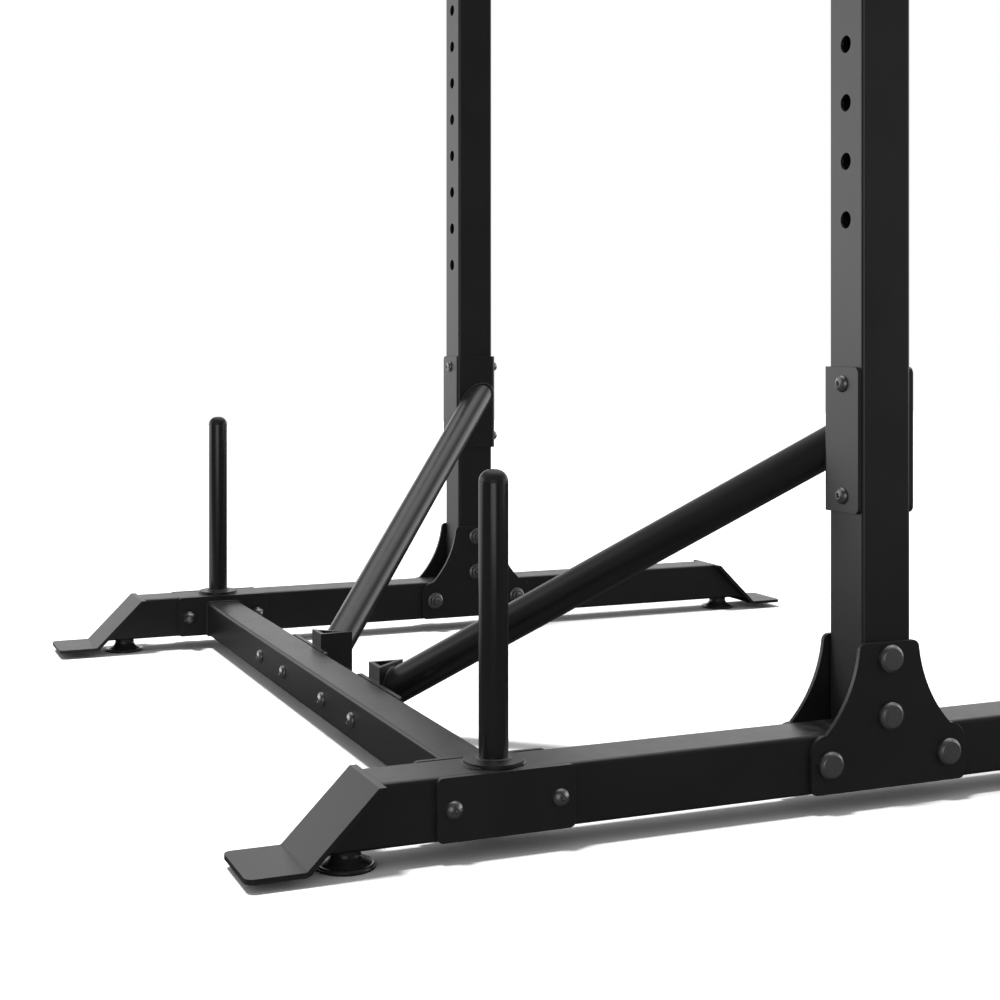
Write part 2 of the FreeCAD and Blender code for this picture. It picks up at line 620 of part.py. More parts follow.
def inset(points, distance):
    """A convex outline, level and run anticlockwise, with every side moved inwards."""
    lines = []
    for start, end in zip(points, points[1:] + points[:1]):
        run = (end - start).normalize()
        lines.append((start + V(-run.y, run.x, 0) * distance, run))
    corners = []
    for (p, u), (q, w) in zip(lines[-1:] + lines[:-1], lines):
        across = u.x * w.y - u.y * w.x
        corners.append(p + u * (((q.x - p.x) * w.y - (q.y - p.y) * w.x) / across))
    return corners


def brace_foot():
    """A plate for the cross beam, with a three-walled socket whose outer face is square to the brace."""
    xs = (FOOT_PLATE_MIDDLE - FOOT_PLATE_LENGTH / 2, FOOT_PLATE_MIDDLE + FOOT_PLATE_LENGTH / 2)
    zs = (FLOOR_GAP, FLOOR_GAP + CROSS_TUBE)
    plate = block(xs, (PLATE_FRONT, CROSS_FRONT), zs)
    plate = rounded(plate, FOOT_PLATE_CORNER, AXIS_Y, [V(x, 0, z) for x in xs for z in zs])
    upper, lower = brace_ends()
    out, along = landing()
    reach = (PLATE_FRONT - lower.y) / along.y
    near, far = lower + along * reach, lower - along * reach
    inner = V(SOCKET_INNER_X, PLATE_FRONT, lower.z)
    corners = [near, inner, far] if reach > 0 else [far, near, inner]
    walls = [corner - AXIS_Z * (SOCKET_HEIGHT / 2) for corner in corners]
    socket = prism(walls, AXIS_Z * SOCKET_HEIGHT)
    room = [corner - AXIS_Z * CUT_OVERRUN for corner in inset(walls, SOCKET_WALL)]
    socket = socket.cut(prism(room, AXIS_Z * (SOCKET_HEIGHT + 2 * CUT_OVERRUN)))
    return plate.fuse(socket).cut([foot_bolt_hole(x) for x in foot_bolts()]).removeSplitter()


def foot_bolt_set():
    """Two bolts through the cross beam with their heads on its rear face."""
    one = turned(button_bolt(CROSS_TUBE + FOOT_PLATE_THICKNESS), AXIS_X, 90)
    return [moved(one, x, CROSS_REAR, CROSS_MIDDLE) for x in foot_bolts()]


def foot_nut_set():
    one = turned(dome_nut(), AXIS_X, 90)
    return [moved(one, x, PLATE_FRONT, CROSS_MIDDLE) for x in foot_bolts()]


def storage_pin():
    """The pin's tube, from its flange up to its domed cap."""
    low, high = BEAM_TOP + PIN_FLANGE_THICKNESS, BEAM_TOP + PIN_RISE - PIN_DOME_HEIGHT
    tube = rod(PIN_DIAMETER / 2, V(STAND_X, PIN_Y, low), V(STAND_X, PIN_Y, high))
    return tube.cut(rod(PIN_DIAMETER / 2 - PIN_WALL, V(STAND_X, PIN_Y, low - CUT_OVERRUN),
                        V(STAND_X, PIN_Y, high + CUT_OVERRUN)))


def storage_pin_cap():
    """A domed plastic cap, flush with the pin, on a plug inside it."""
    radius, plug = PIN_DIAMETER / 2, PIN_DIAMETER / 2 - PIN_WALL - MOULD_GAP
    flat = radius - PIN_DOME_HEIGHT
    slant = PIN_DOME_HEIGHT * math.sqrt(0.5)
    cap = revolved(V(0, 0, -PIN_PLUG_DEPTH), V(plug, 0, -PIN_PLUG_DEPTH), V(plug, 0, 0), V(radius, 0, 0),
                   (V(flat + slant, 0, slant), V(flat, 0, PIN_DOME_HEIGHT)), V(0, 0, PIN_DOME_HEIGHT))
    return moved(cap, STAND_X, PIN_Y, BEAM_TOP + PIN_RISE - PIN_DOME_HEIGHT)


def storage_pin_flange():
    return rod(PIN_FLANGE_DIAMETER / 2, V(STAND_X, PIN_Y, BEAM_TOP),
               V(STAND_X, PIN_Y, BEAM_TOP + PIN_FLANGE_THICKNESS))


def hook_outline(x, back, shelf, lip, top, lip_top, floor, reach, bend):
    """The outline of a J seen from the side: a back, a shelf and a lip, with rounded outer bends."""
    rear, front = FRONT_FACE - back, FRONT_FACE - reach
    middle = V(x, 0, 0)
    heel = quarter(middle + V(0, rear - bend, floor + bend), bend, -45)
    toe = quarter(middle + V(0, front + bend, floor + bend), bend, -135)
    inner = bend - min(shelf, lip) if bend > min(shelf, lip) else bend / 2
    inner_rear, inner_front, inner_floor = rear - shelf, front + lip, floor + shelf
    inner_toe = quarter(middle + V(0, inner_front + inner, inner_floor + inner), inner, -135)
    inner_heel = quarter(middle + V(0, inner_rear - inner, inner_floor + inner), inner, -45)
    return face(V(x, rear, top), V(x, rear, floor + bend), (heel, V(x, rear - bend, floor)),
                V(x, front + bend, floor), (toe, V(x, front, floor + bend)), V(x, front, lip_top),
                V(x, inner_front, lip_top), V(x, inner_front, inner_floor + inner),
                (inner_toe, V(x, inner_front + inner, inner_floor)), V(x, inner_rear - inner, inner_floor),
                (inner_heel, V(x, inner_rear, inner_floor + inner)), V(x, inner_rear, top))


def cup_bracket():
    """The folded steel hook with a cheek down each side of the upright, drilled for its pin."""
    floor, top = CUP_Z - CUP_BELOW_HOLE, CUP_Z + CUP_ABOVE_HOLE
    hook = hook_outline(STAND_X - CUP_WIDTH / 2, 0, CUP_PLATE, CUP_PLATE, top, floor + CUP_LIP_RISE,
                        floor, CUP_SHELF, CUP_BEND).extrude(V(CUP_WIDTH, 0, 0))
    sides = [STAND_X + side * CUP_WIDTH / 2 for side in (-1, 1)]
    hook = rounded(hook, CUP_LIP_CORNER, AXIS_Y, [V(x, 0, floor + CUP_LIP_RISE) for x in sides])
    half = TUBE / 2 + CUP_SIDE_GAP
    ys = (FRONT_FACE - CUP_PLATE, FRONT_FACE + CUP_CHEEK_DEPTH)
    zs = (floor + CUP_BEND, top)
    cheeks = []
    for low, high in ((-half - CUP_PLATE, -half), (half, half + CUP_PLATE)):
        cheek = block((STAND_X + low, STAND_X + high), ys, zs)
        cheeks.append(rounded(cheek, CUP_CHEEK_CORNER, AXIS_X, [V(0, ys[1], z) for z in zs]))
    yoke = block((STAND_X - half - CUP_PLATE, STAND_X + half + CUP_PLATE), (ys[0], FRONT_FACE), zs)
    pin_hole = rod(CUP_PIN_DIAMETER / 2 + MOULD_GAP, V(STAND_X, ys[0] - CUT_OVERRUN, CUP_Z),
                   V(STAND_X, ys[1] + CUT_OVERRUN, CUP_Z))
    screws = [rod(LINER_SCREW_DIAMETER / 2 + MOULD_GAP, V(STAND_X, ys[0] - CUT_OVERRUN, CUP_Z + rise),
                  V(STAND_X, FRONT_FACE + CUT_OVERRUN, CUP_Z + rise)) for rise in LINER_SCREW_HEIGHTS]
    return hook.fuse([yoke] + cheeks).cut([pin_hole] + screws).removeSplitter()


def cup_liner():
    """The plastic lining that the bar rests on, a second hook inside the steel one."""
    floor, top = CUP_Z - CUP_BELOW_HOLE + CUP_PLATE, CUP_Z + CUP_ABOVE_HOLE
    inner_bend = CUP_BEND - CUP_PLATE
    lip_top = floor - CUP_PLATE + CUP_LIP_RISE + LINER_LIP_OVERHANG
    liner = hook_outline(STAND_X - CUP_WIDTH / 2, CUP_PLATE, LINER_SHELF, LINER_LIP, top, lip_top, floor,
                         CUP_SHELF - CUP_PLATE, inner_bend).extrude(V(CUP_WIDTH, 0, 0))
    sides = [STAND_X + side * CUP_WIDTH / 2 for side in (-1, 1)]
    liner = rounded(liner, LINER_CORNER, AXIS_Y, [V(x, 0, z) for x in sides for z in (top, lip_top)])
    front = FRONT_FACE - CUP_PLATE - LINER_BACK
    cutters = []
    for rise in LINER_SCREW_HEIGHTS:
        start = V(STAND_X, front - CUT_OVERRUN, CUP_Z + rise)
        cutters.append(rod(LINER_SCREW_HEAD_DIAMETER / 2 + MOULD_GAP, start,
                           V(STAND_X, front + LINER_SCREW_SINK + LINER_SCREW_HEAD_HEIGHT, CUP_Z + rise)))
        cutters.append(rod(LINER_SCREW_DIAMETER / 2 + MOULD_GAP, start,
                           V(STAND_X, FRONT_FACE + CUT_OVERRUN, CUP_Z + rise)))
    return liner.cut(cutters)


def cup_pin():
    """The pin welded into the cup's back plate, which goes into the upright's hole."""
    radius = CUP_PIN_DIAMETER / 2
    length = CUP_PLATE + CUP_PIN_REACH
    pin = revolved(ORIGIN, V(radius, 0, 0), V(radius, 0, length - CUP_PIN_CHAMFER),
                   V(radius - CUP_PIN_CHAMFER, 0, length), V(0, 0, length))
    return moved(to_plus_y(pin), STAND_X, FRONT_FACE - CUP_PLATE, CUP_Z)


def cup_screw_set():
    head, shank = LINER_SCREW_HEAD_DIAMETER / 2, LINER_SCREW_DIAMETER / 2
    length = CUP_PLATE + LINER_BACK - LINER_SCREW_SINK
    seat = LINER_SCREW_HEAD_HEIGHT
    screw = revolved(ORIGIN, V(head, 0, 0), V(head, 0, seat), V(shank, 0, seat),
                     V(shank, 0, length), V(0, 0, length))
    return [moved(to_plus_y(screw), STAND_X, FRONT_FACE - length, CUP_Z + rise)
            for rise in LINER_SCREW_HEIGHTS]


def stand_pieces():
    """Every piece of the right stand by name. A list is a group of identical separate solids."""
    pieces = {
        "upright": upright(), "upright_cap": upright_cap(), "base_beam": base_beam(),
        "rear_end_plate": end_plate(), "front_end_plate": front_end_plate(),
        "outer_gusset": gusset(OUTER_FACE), "inner_gusset": gusset(INNER_FACE - GUSSET_THICKNESS),
        "gusset_bolts": gusset_bolt_set(), "gusset_nuts": gusset_nut_set(),
        "brace_bracket": saddle_bracket(), "brace": brace(), "brace_foot": brace_foot(),
        "cross_beam_end_plate": joint_plate(CROSS_END), "backing_plate": joint_plate(OUTER_FACE),
        "storage_pin": storage_pin(), "storage_pin_cap": storage_pin_cap(),
        "storage_pin_flange": storage_pin_flange(),
        "cup_bracket": cup_bracket(), "cup_liner": cup_liner(), "cup_pin": cup_pin(),
        "cup_screws": cup_screw_set(),
    }
    for end, y in (("rear", FOOT_Y), ("front", -FOOT_Y)):
        pieces[end + "_foot_pad"] = moved(foot_pad(), STAND_X, y, 0)
        pieces[end + "_foot_stem"] = moved(foot_stem(), STAND_X, y, 0)
    return pieces


def shared_fasteners():
    """Fasteners of both stands that share a node, given for the right stand."""
    return {
        "brace_bolts": bracket_bolt_set() + foot_bolt_set() + joint_bolt_set(),
        "domed_nuts": bracket_nut_set() + foot_nut_set() + joint_nut_set(),
        "foot_weld_nuts": [moved(weld_nut(), STAND_X, y, 0) for y in (FOOT_Y, -FOOT_Y)],
    }


def mirrored(shape):
    return shape.mirror(ORIGIN, AXIS_X)


def as_list(shape):
    return shape if isinstance(shape, list) else [shape]


def write(name, shapes):
    """Writes one node: a lone solid as it is, a group as a compound of separate solids."""
    solids = [solid for shape in shapes for solid in shape.Solids]
    node = solids[0] if len(solids) == 1 else Part.makeCompound(solids)
    node.exportStep("parts/" + name + ".step")


os.makedirs("parts", exist_ok=True)
for name, shape in stand_pieces().items():
    write("right_" + name, as_list(shape))
    write("left_" + name, [mirrored(one) for one in as_list(shape)])
for name, shapes in shared_fasteners().items():
    write(name, shapes + [mirrored(one) for one in shapes])
write("cross_beam", [cross_beam()])
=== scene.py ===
# %% [markdown]
# # A pair of squat stands in black powder-coated steel
#
# Two uprights stand on long base beams, tied at the rear by a cross beam and two diagonal braces.
# Their solids come in at their real size and place. This notebook gives them what a workshop gives
# the real ones: weld beads, turned and threaded fasteners, moulded feet, eased edges and a textured
# coat. No solid is moved or resized. Lengths are in metres, and millimetres are written as a number
# times MM.

import json
import math

import bmesh
import bpy
import numpy as np
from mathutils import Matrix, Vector


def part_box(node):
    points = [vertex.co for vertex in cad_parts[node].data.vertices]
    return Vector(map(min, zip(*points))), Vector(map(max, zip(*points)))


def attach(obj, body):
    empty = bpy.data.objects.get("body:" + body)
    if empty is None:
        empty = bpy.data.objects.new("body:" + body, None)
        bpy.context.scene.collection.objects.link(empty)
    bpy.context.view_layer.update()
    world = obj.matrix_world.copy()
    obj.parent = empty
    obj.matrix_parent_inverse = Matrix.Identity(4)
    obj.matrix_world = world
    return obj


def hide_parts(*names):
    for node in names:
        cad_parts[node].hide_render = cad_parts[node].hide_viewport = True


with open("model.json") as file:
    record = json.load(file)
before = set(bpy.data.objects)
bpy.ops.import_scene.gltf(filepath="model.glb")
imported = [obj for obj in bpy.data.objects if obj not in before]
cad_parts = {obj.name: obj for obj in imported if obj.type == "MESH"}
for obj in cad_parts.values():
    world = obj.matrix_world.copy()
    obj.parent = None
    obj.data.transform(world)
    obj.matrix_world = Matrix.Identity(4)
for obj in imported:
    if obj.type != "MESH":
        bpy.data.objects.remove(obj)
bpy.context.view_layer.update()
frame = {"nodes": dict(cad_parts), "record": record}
bodies = frame["record"]["behaviour"]["bodies"]
body_of = {node: body for body, nodes in bodies.items() for node in nodes}
slot_of = {part["node"]: part["material_slot"] for part in frame["record"]["subparts"]}
MM = 0.001

# %% [markdown]
# ## Sums in a material
#
# A finish is a sum of patterns: a fine grain, a slow mottling, a worn ring. Blender works out such
# sums with Math nodes, which are slow to place one by one. A small class wraps a socket, so that
# `0.4 + 0.1 * mottle` adds the nodes by itself.

# %% A socket that takes part in sums


def feed(tree, socket, value):
    """Puts a number, a colour or another socket into an input."""
    if isinstance(value, Value):
        tree.links.new(value.socket, socket)
    else:
        socket.default_value = value


class Value:
    """A socket's value. Each operator adds the Math node that works it out."""

    def __init__(self, tree, socket):
        self.tree, self.socket = tree, socket

    def sum(self, operation, *inputs):
        node = self.tree.nodes.new("ShaderNodeMath")
        node.operation = operation
        for socket, value in zip(node.inputs, inputs):
            feed(self.tree, socket, value)
        return Value(self.tree, node.outputs[0])

    def __add__(self, other):
        return self.sum("ADD", self, other)

    def __sub__(self, other):
        return self.sum("SUBTRACT", self, other)

    def __rsub__(self, other):
        return self.sum("SUBTRACT", other, self)

    def __mul__(self, other):
        return self.sum("MULTIPLY", self, other)

    def __truediv__(self, other):
        return self.sum("DIVIDE", self, other)

    def __pow__(self, other):
        return self.sum("POWER", self, other)

    def __mod__(self, other):
        return self.sum("FLOORED_MODULO", self, other)

    def larger(self, other):
        return self.sum("MAXIMUM", self, other)

    def size(self):
        return self.sum("ABSOLUTE", self)

    __radd__ = __add__
    __rmul__ = __mul__


# %% [markdown]
# ## Nodes from one method
#
# Materials and the world are both trees of nodes. One method adds any node from its type, its
# settings and its inputs, and the few patterns that this notebook repeats get a name of their own.

# %% A tree of nodes


class Nodes:
    """Adds nodes to one tree."""

    def __init__(self, tree):
        self.tree = tree

    def node(self, kind, settings=(), inputs=(), output=0):
        """A new node's output, or a list of them where `output` names several."""
        node = self.tree.nodes.new(kind)
        for name, value in dict(settings).items():
            setattr(node, name, value)
        for name, value in dict(inputs).items():
            feed(self.tree, node.inputs[name], value)
        if isinstance(output, tuple):
            return [Value(self.tree, node.outputs[name]) for name in output]
        return Value(self.tree, node.outputs[output])

    def parts(self, vector):
        """A vector's x, y and z as three values."""
        return self.node("ShaderNodeSeparateXYZ", inputs={0: vector}, output=(0, 1, 2))

    def fade(self, value, low, high):
        """0 below one value, 1 above another, and a smooth step between them."""
        return self.node("ShaderNodeMapRange", {"interpolation_type": "SMOOTHSTEP"}, {
            "Value": value, "From Min": low, "From Max": high, "To Min": 0, "To Max": 1})

    def blend(self, share, first, second):
        """A colour between two others."""
        return self.node("ShaderNodeMix", {"data_type": "RGBA"}, {0: share, 6: first, 7: second}, 2)


# %% [markdown]
# ## A finish and its eased edges
#
# A sawn tube and a cut plate are deburred before they are coated, and the coat rounds what is left.
# That thin rounded edge catches the light. A Bevel modifier would have to cut it into every solid.
# The Bevel node gives the same look with no new faces: it averages the directions that the surface
# faces within a radius. Where that average leans away from the true direction there is an edge, and
# the same difference tells where a coat is rubbed thin.

# %% A finish in the making
EDGE, EDGE_SAMPLES = 0.8 * MM, 6
EDGE_STARTS, EDGE_FULL = 0.01, 0.12


class Finish(Nodes):
    """A material in the making."""

    def __init__(self, name, edge=EDGE, **fixed):
        self.material = bpy.data.materials.new(name)
        self.material.use_nodes = True
        super().__init__(self.material.node_tree)
        self.shader = self.tree.nodes["Principled BSDF"]
        for socket, value in fixed.items():
            self.shader.inputs[socket.replace("_", " ")].default_value = value
        self.place = self.node("ShaderNodeTexCoord", output="Object")
        self.true = self.node("ShaderNodeNewGeometry", output="Normal")
        self.eased = self.node("ShaderNodeBevel", {"samples": EDGE_SAMPLES}, {"Radius": edge})

    def noise(self, size, detail=2, rough=0.5, stretch=(1, 1, 1)):
        """Cloudy noise with spots about `size` metres across, drawn out by `stretch`."""
        scale = [1 / (size * s) for s in stretch]
        place = self.node("ShaderNodeMapping", inputs={"Vector": self.place, "Scale": scale})
        return self.node("ShaderNodeTexNoise", inputs={
            "Vector": place, "Scale": 1, "Detail": detail, "Roughness": rough})

    def edges(self):
        """1 on an eased edge and 0 on a flat, from 1 - the cosine of the angle between the eased
        and the true direction."""
        match = self.node("ShaderNodeVectorMath", {"operation": "DOT_PRODUCT"},
                          {0: self.eased, 1: self.true}, "Value")
        return self.fade(1 - match, EDGE_STARTS, EDGE_FULL)

    def turning(self, ring):
        """Fine rings left by a lathe, from the piece's own distance to its axis."""
        radius = self.node("ShaderNodeAttribute", {"attribute_name": "radius"}, output="Fac")
        return self.node("ShaderNodeTexNoise", {"noise_dimensions": "1D"}, {
            "W": radius / ring, "Scale": 1, "Detail": 2})

    def set(self, **inputs):
        """Feeds the shader's inputs, named with _ for a space."""
        for socket, value in inputs.items():
            feed(self.tree, self.shader.inputs[socket.replace("_", " ")], value)
        return self

    def bump(self, height, depth):
        """Raises the surface by up to `depth` metres where the height is 1, over eased edges."""
        relief = self.node("ShaderNodeBump", inputs={
            "Height": height, "Distance": depth, "Strength": 1, "Normal": self.eased})
        return self.set(Normal=relief)


def grey(level):
    """A colour that reflects the same share of red, green and blue."""
    return (level, level, level, 1)


# %% [markdown]
# ## Powder coat
#
# The steel is dusted with black powder and baked, which leaves a satin skin with a fine orange
# peel. Its grain is under a millimetre across, so from a few steps away it only spreads the shine,
# and close to it breaks up the highlights. A slow mottling keeps long tubes from looking drawn, a
# little dust lies on what faces up, and edges are rubbed a shade lighter. Round tubes are drawn
# smoother than square ones, so the coat on them is glossier and their light lines are sharper. The
# pins are the smoothest, as a precise tube that is polished before it is coated.

# %% The coat
COAT, COAT_RUBBED, DUST = 0.0102, 0.06, 0.2
COAT_IOR, COAT_ROUGHNESS = 1.9, 0.34
PEEL, GRAIN, MOTTLE, PEEL_DEPTH = 1.6 * MM, 0.5 * MM, 90 * MM, 0.06 * MM
DUST_SPOT, DUST_SHARE, WORN_SPOT, WORN_SHARE = 14 * MM, 0.09, 9 * MM, 0.5
TUBE_MATT, PIN_MATT = 0.75, 0.36


def coat(name, matt=1.0, rubbed=None):
    """The black coat. `matt` scales its roughness and its peel, and `rubbed`, if given, makes a
    mask of where use has polished it."""
    finish = Finish(name, IOR=COAT_IOR)
    peel, grain, mottle = finish.noise(PEEL), finish.noise(GRAIN, 1), finish.noise(MOTTLE, 3)
    up = finish.parts(finish.true)[2]
    dust = finish.fade(up, 0.6, 1.0) * finish.fade(finish.noise(DUST_SPOT, 4), 0.4, 0.75)
    worn = finish.edges() * finish.fade(finish.noise(WORN_SPOT, 4, 0.6), 0.42, 0.62)
    if rubbed:
        worn = worn.larger(rubbed(finish))
    colour = finish.blend(finish.fade(mottle, 0.3, 0.7), grey(COAT * 0.85), grey(COAT * 1.15))
    colour = finish.blend(dust * DUST_SHARE, colour, grey(DUST))
    colour = finish.blend(worn * WORN_SHARE, colour, grey(COAT_RUBBED))
    roughness = matt * COAT_ROUGHNESS + 0.06 * mottle + 0.06 * dust - 0.1 * worn
    finish.set(Base_Color=colour, Roughness=roughness)
    return finish.bump(0.7 * peel + 0.3 * grain, matt * PEEL_DEPTH).material


powder_coat = coat("powder_coat")
tube_coat = coat("powder_coat_on_round_tube", matt=TUBE_MATT)
pin_coat = coat("powder_coat_on_pin", matt=PIN_MATT)
print("coat reflects", COAT, "of the light that enters it, with an index of", COAT_IOR)

# %% [markdown]
# ## Rubbed coat round the holes
#
# A bar cup's pin is pushed into one hole after another and scrapes the coat round each of them. On
# the uprights the same coat gets a ring there. The holes are evenly spaced, so the distance to the
# nearest one needs no list: the height is wrapped at the spacing, as a clock wraps at twelve.

# %% The uprights' coat
STAND_X, HOLE_LOWEST, HOLE_PITCH = 567.5 * MM, 608 * MM, 61.2 * MM
HOLE_RADIUS, RUBBED_RADIUS = 9 * MM, 13 * MM
STREAK, RUBBED_SHARE = 2.5 * MM, 0.7


def round_holes(finish):
    """Up to RUBBED_SHARE at a hole's rim and 0 at the rubbed radius, broken up by streaks. The
    distance is the root of across squared + up squared, and up is the height wrapped at the
    spacing, less half of it."""
    x, y, z = finish.parts(finish.place)
    across = x.size() - STAND_X
    up = (z - (HOLE_LOWEST - HOLE_PITCH / 2)) % HOLE_PITCH - HOLE_PITCH / 2
    distance = (across ** 2 + up ** 2) ** 0.5
    ring = 1 - finish.fade(distance, HOLE_RADIUS, RUBBED_RADIUS)
    above = finish.fade(z, HOLE_LOWEST - HOLE_PITCH / 2, HOLE_LOWEST - HOLE_PITCH / 3)
    streaks = finish.fade(finish.noise(STREAK, 4, 0.6, (1, 1, 3)), 0.45, 0.7)
    return ring * above * streaks * RUBBED_SHARE


upright_coat = coat("powder_coat_rubbed", rubbed=round_holes)
print("rubbed rings are", round((RUBBED_RADIUS - HOLE_RADIUS) / MM, 1), "mm wide")

# %% [markdown]
# ## Fasteners
#
# Bolts and nuts are zinc plated and darkened, and their faces were turned on a lathe, which leaves
# rings too fine to count. The rings follow each bolt's own axis, so every turned piece carries the
# distance to its axis as an attribute, and a noise along that one number draws them.

# %% Darkened and bare steel


def bolt_steel():
    """Smeared dark zinc, with rings round each bolt's axis and brighter edges."""
    finish = Finish("bolt_steel", 1.2 * MM, Metallic=1.0)
    smear, rings = finish.noise(3 * MM, 3), finish.turning(0.45 * MM)
    colour = finish.blend(smear, grey(0.42), grey(0.62))
    colour = finish.blend(finish.edges() * 0.6, colour, grey(0.75))
    finish.set(Base_Color=colour, Roughness=0.3 + 0.14 * smear)
    return finish.bump(0.6 * rings + 0.4 * finish.noise(0.6 * MM), 0.035 * MM).material


def bare_steel():
    """Plain steel with soft smears."""
    finish = Finish("bare_steel", 0.4 * MM, Metallic=1.0)
    smear = finish.noise(4 * MM, 4)
    finish.set(Base_Color=finish.blend(smear, grey(0.36), grey(0.55)), Roughness=0.25 + 0.2 * smear)
    return finish.bump(finish.noise(0.8 * MM, 2), 0.02 * MM).material


# %% [markdown]
# ## Rubber and plastic
#
# The feet are moulded rubber, black and glossy from the mould, with a little dust. The caps are
# satin plastic with a fine spark texture. The cups' linings are a harder plastic that the bar
# scrapes along its length, so their scratches and polish run across the stand.

# %% Rubber and plastic


def foot_rubber():
    """Glossy black rubber with dusty spots."""
    finish = Finish("foot_rubber", 0.6 * MM, IOR=1.6)
    cloud, dust = finish.noise(8 * MM, 3), finish.fade(finish.noise(5 * MM, 4), 0.5, 0.8)
    finish.set(Base_Color=finish.blend(dust * 0.12, grey(0.035), grey(0.2)),
               Roughness=0.14 + 0.14 * cloud)
    return finish.bump(finish.noise(0.7 * MM, 2), 0.015 * MM).material


def cap_plastic():
    """Nearly even satin plastic with a fine grain."""
    finish = Finish("cap_plastic", 1.0 * MM, IOR=1.46)
    grain = finish.noise(0.8 * MM, 2)
    finish.set(Base_Color=finish.blend(finish.noise(30 * MM), grey(0.013), grey(0.019)),
               Roughness=0.24 + 0.12 * grain)
    return finish.bump(grain, 0.03 * MM).material


def liner_plastic():
    """Plastic with lines drawn out along x, worn where it faces up or down."""
    finish = Finish("liner_plastic", 1.6 * MM, IOR=1.5)
    drawn = finish.noise(1.5 * MM, 3, stretch=(14, 1, 1))
    up = finish.parts(finish.true)[2]
    worn = finish.fade(up.size(), 0.4, 0.9) * finish.fade(drawn, 0.5, 0.7)
    finish.set(Base_Color=finish.blend(worn * 0.3, grey(0.02), grey(0.1)),
               Roughness=0.34 + 0.2 * worn)
    return finish.bump(0.6 * drawn + 0.4 * finish.noise(0.7 * MM), 0.05 * MM).material


# %% [markdown]
# ## Every solid gets its finish
#
# Each solid says in its slot what it is made of. Three kinds of coated piece differ from the rest:
# the uprights, whose holes are rubbed, and the smoother braces and storage pins. Their names end in
# their kind.

# %% Finishes on the solids
finishes = {
    "powder_coat": powder_coat, "bolt_steel": bolt_steel(), "bare_steel": bare_steel(),
    "foot_rubber": foot_rubber(), "cap_plastic": cap_plastic(), "liner_plastic": liner_plastic()}
special_coats = {"_upright": upright_coat, "_brace": tube_coat, "_storage_pin": pin_coat}
for node, solid in frame["nodes"].items():
    for slot in solid.material_slots:
        slot.material = finishes[slot_of[node]]
        for ending, finish in special_coats.items():
            if node.endswith(ending):
                slot.material = finish
print("finishes:", sorted(finishes))

# %% [markdown]
# ## Rings and grids
#
# Bolts, nuts, feet and weld beads are all rings that follow one another. One function turns a list
# of rings into rows of a grid, and one puts grids into a mesh. A row that shrinks to a point closes
# a shape, and its doubled points are merged.

# %% Turned shapes
SIDES = 64
LARGEST_SHARE = 0.45


def softened(corners, reach, steps=5):
    """An outline with its corners rounded. Each inner corner P becomes the curve
    (1-t)(1-t)A + 2t(1-t)P + ttB from A, `reach` before it, to B, `reach` past it. No curve takes
    more than LARGEST_SHARE of a side."""
    corners = np.array(corners, float)
    before, middle, after = corners[:-2], corners[1:-1], corners[2:]
    back, ahead = before - middle, after - middle
    lengths = [np.linalg.norm(v, axis=1, keepdims=True) for v in (back, ahead)]
    start = middle + back * np.minimum(reach / lengths[0], LARGEST_SHARE)
    end = middle + ahead * np.minimum(reach / lengths[1], LARGEST_SHARE)
    t = np.linspace(0, 1, steps)[None, :, None]
    start, middle, end = start[:, None], middle[:, None], end[:, None]
    curves = (1 - t) ** 2 * start + 2 * t * (1 - t) * middle + t ** 2 * end
    return np.vstack([corners[:1], curves.reshape(-1, corners.shape[1]), corners[-1:]])


def turned(rows):
    """Rings about the z axis from rows of (radius, height, hexagon share, largest radius), the last
    two optional. A hexagon's side lies at radius / cos(angle from the middle of that side)."""
    rows = np.array([tuple(row) + (0.0, np.inf)[len(row) - 2:] for row in rows])
    radius, height, share, largest = (column[:, None] for column in rows.T)
    angle = np.linspace(0, 2 * np.pi, SIDES, endpoint=False)[None, :]
    off = (angle + np.pi / 6) % (np.pi / 3) - np.pi / 6
    reach = np.minimum(radius * (1 - share + share / np.cos(off)), largest)
    return np.stack([reach * np.cos(angle), reach * np.sin(angle), height + 0 * angle], axis=-1)


def aimed(rings, place, axis):
    """Rings turned from the z axis to another axis and moved to their place."""
    turn = np.array(Vector(axis).to_track_quat("Z", "Y").to_matrix())
    return rings @ turn.T + np.array(place)


# %% A mesh from grids
MERGE_REACH = 0.001 * MM
SMOOTH_BELOW = math.radians(40)


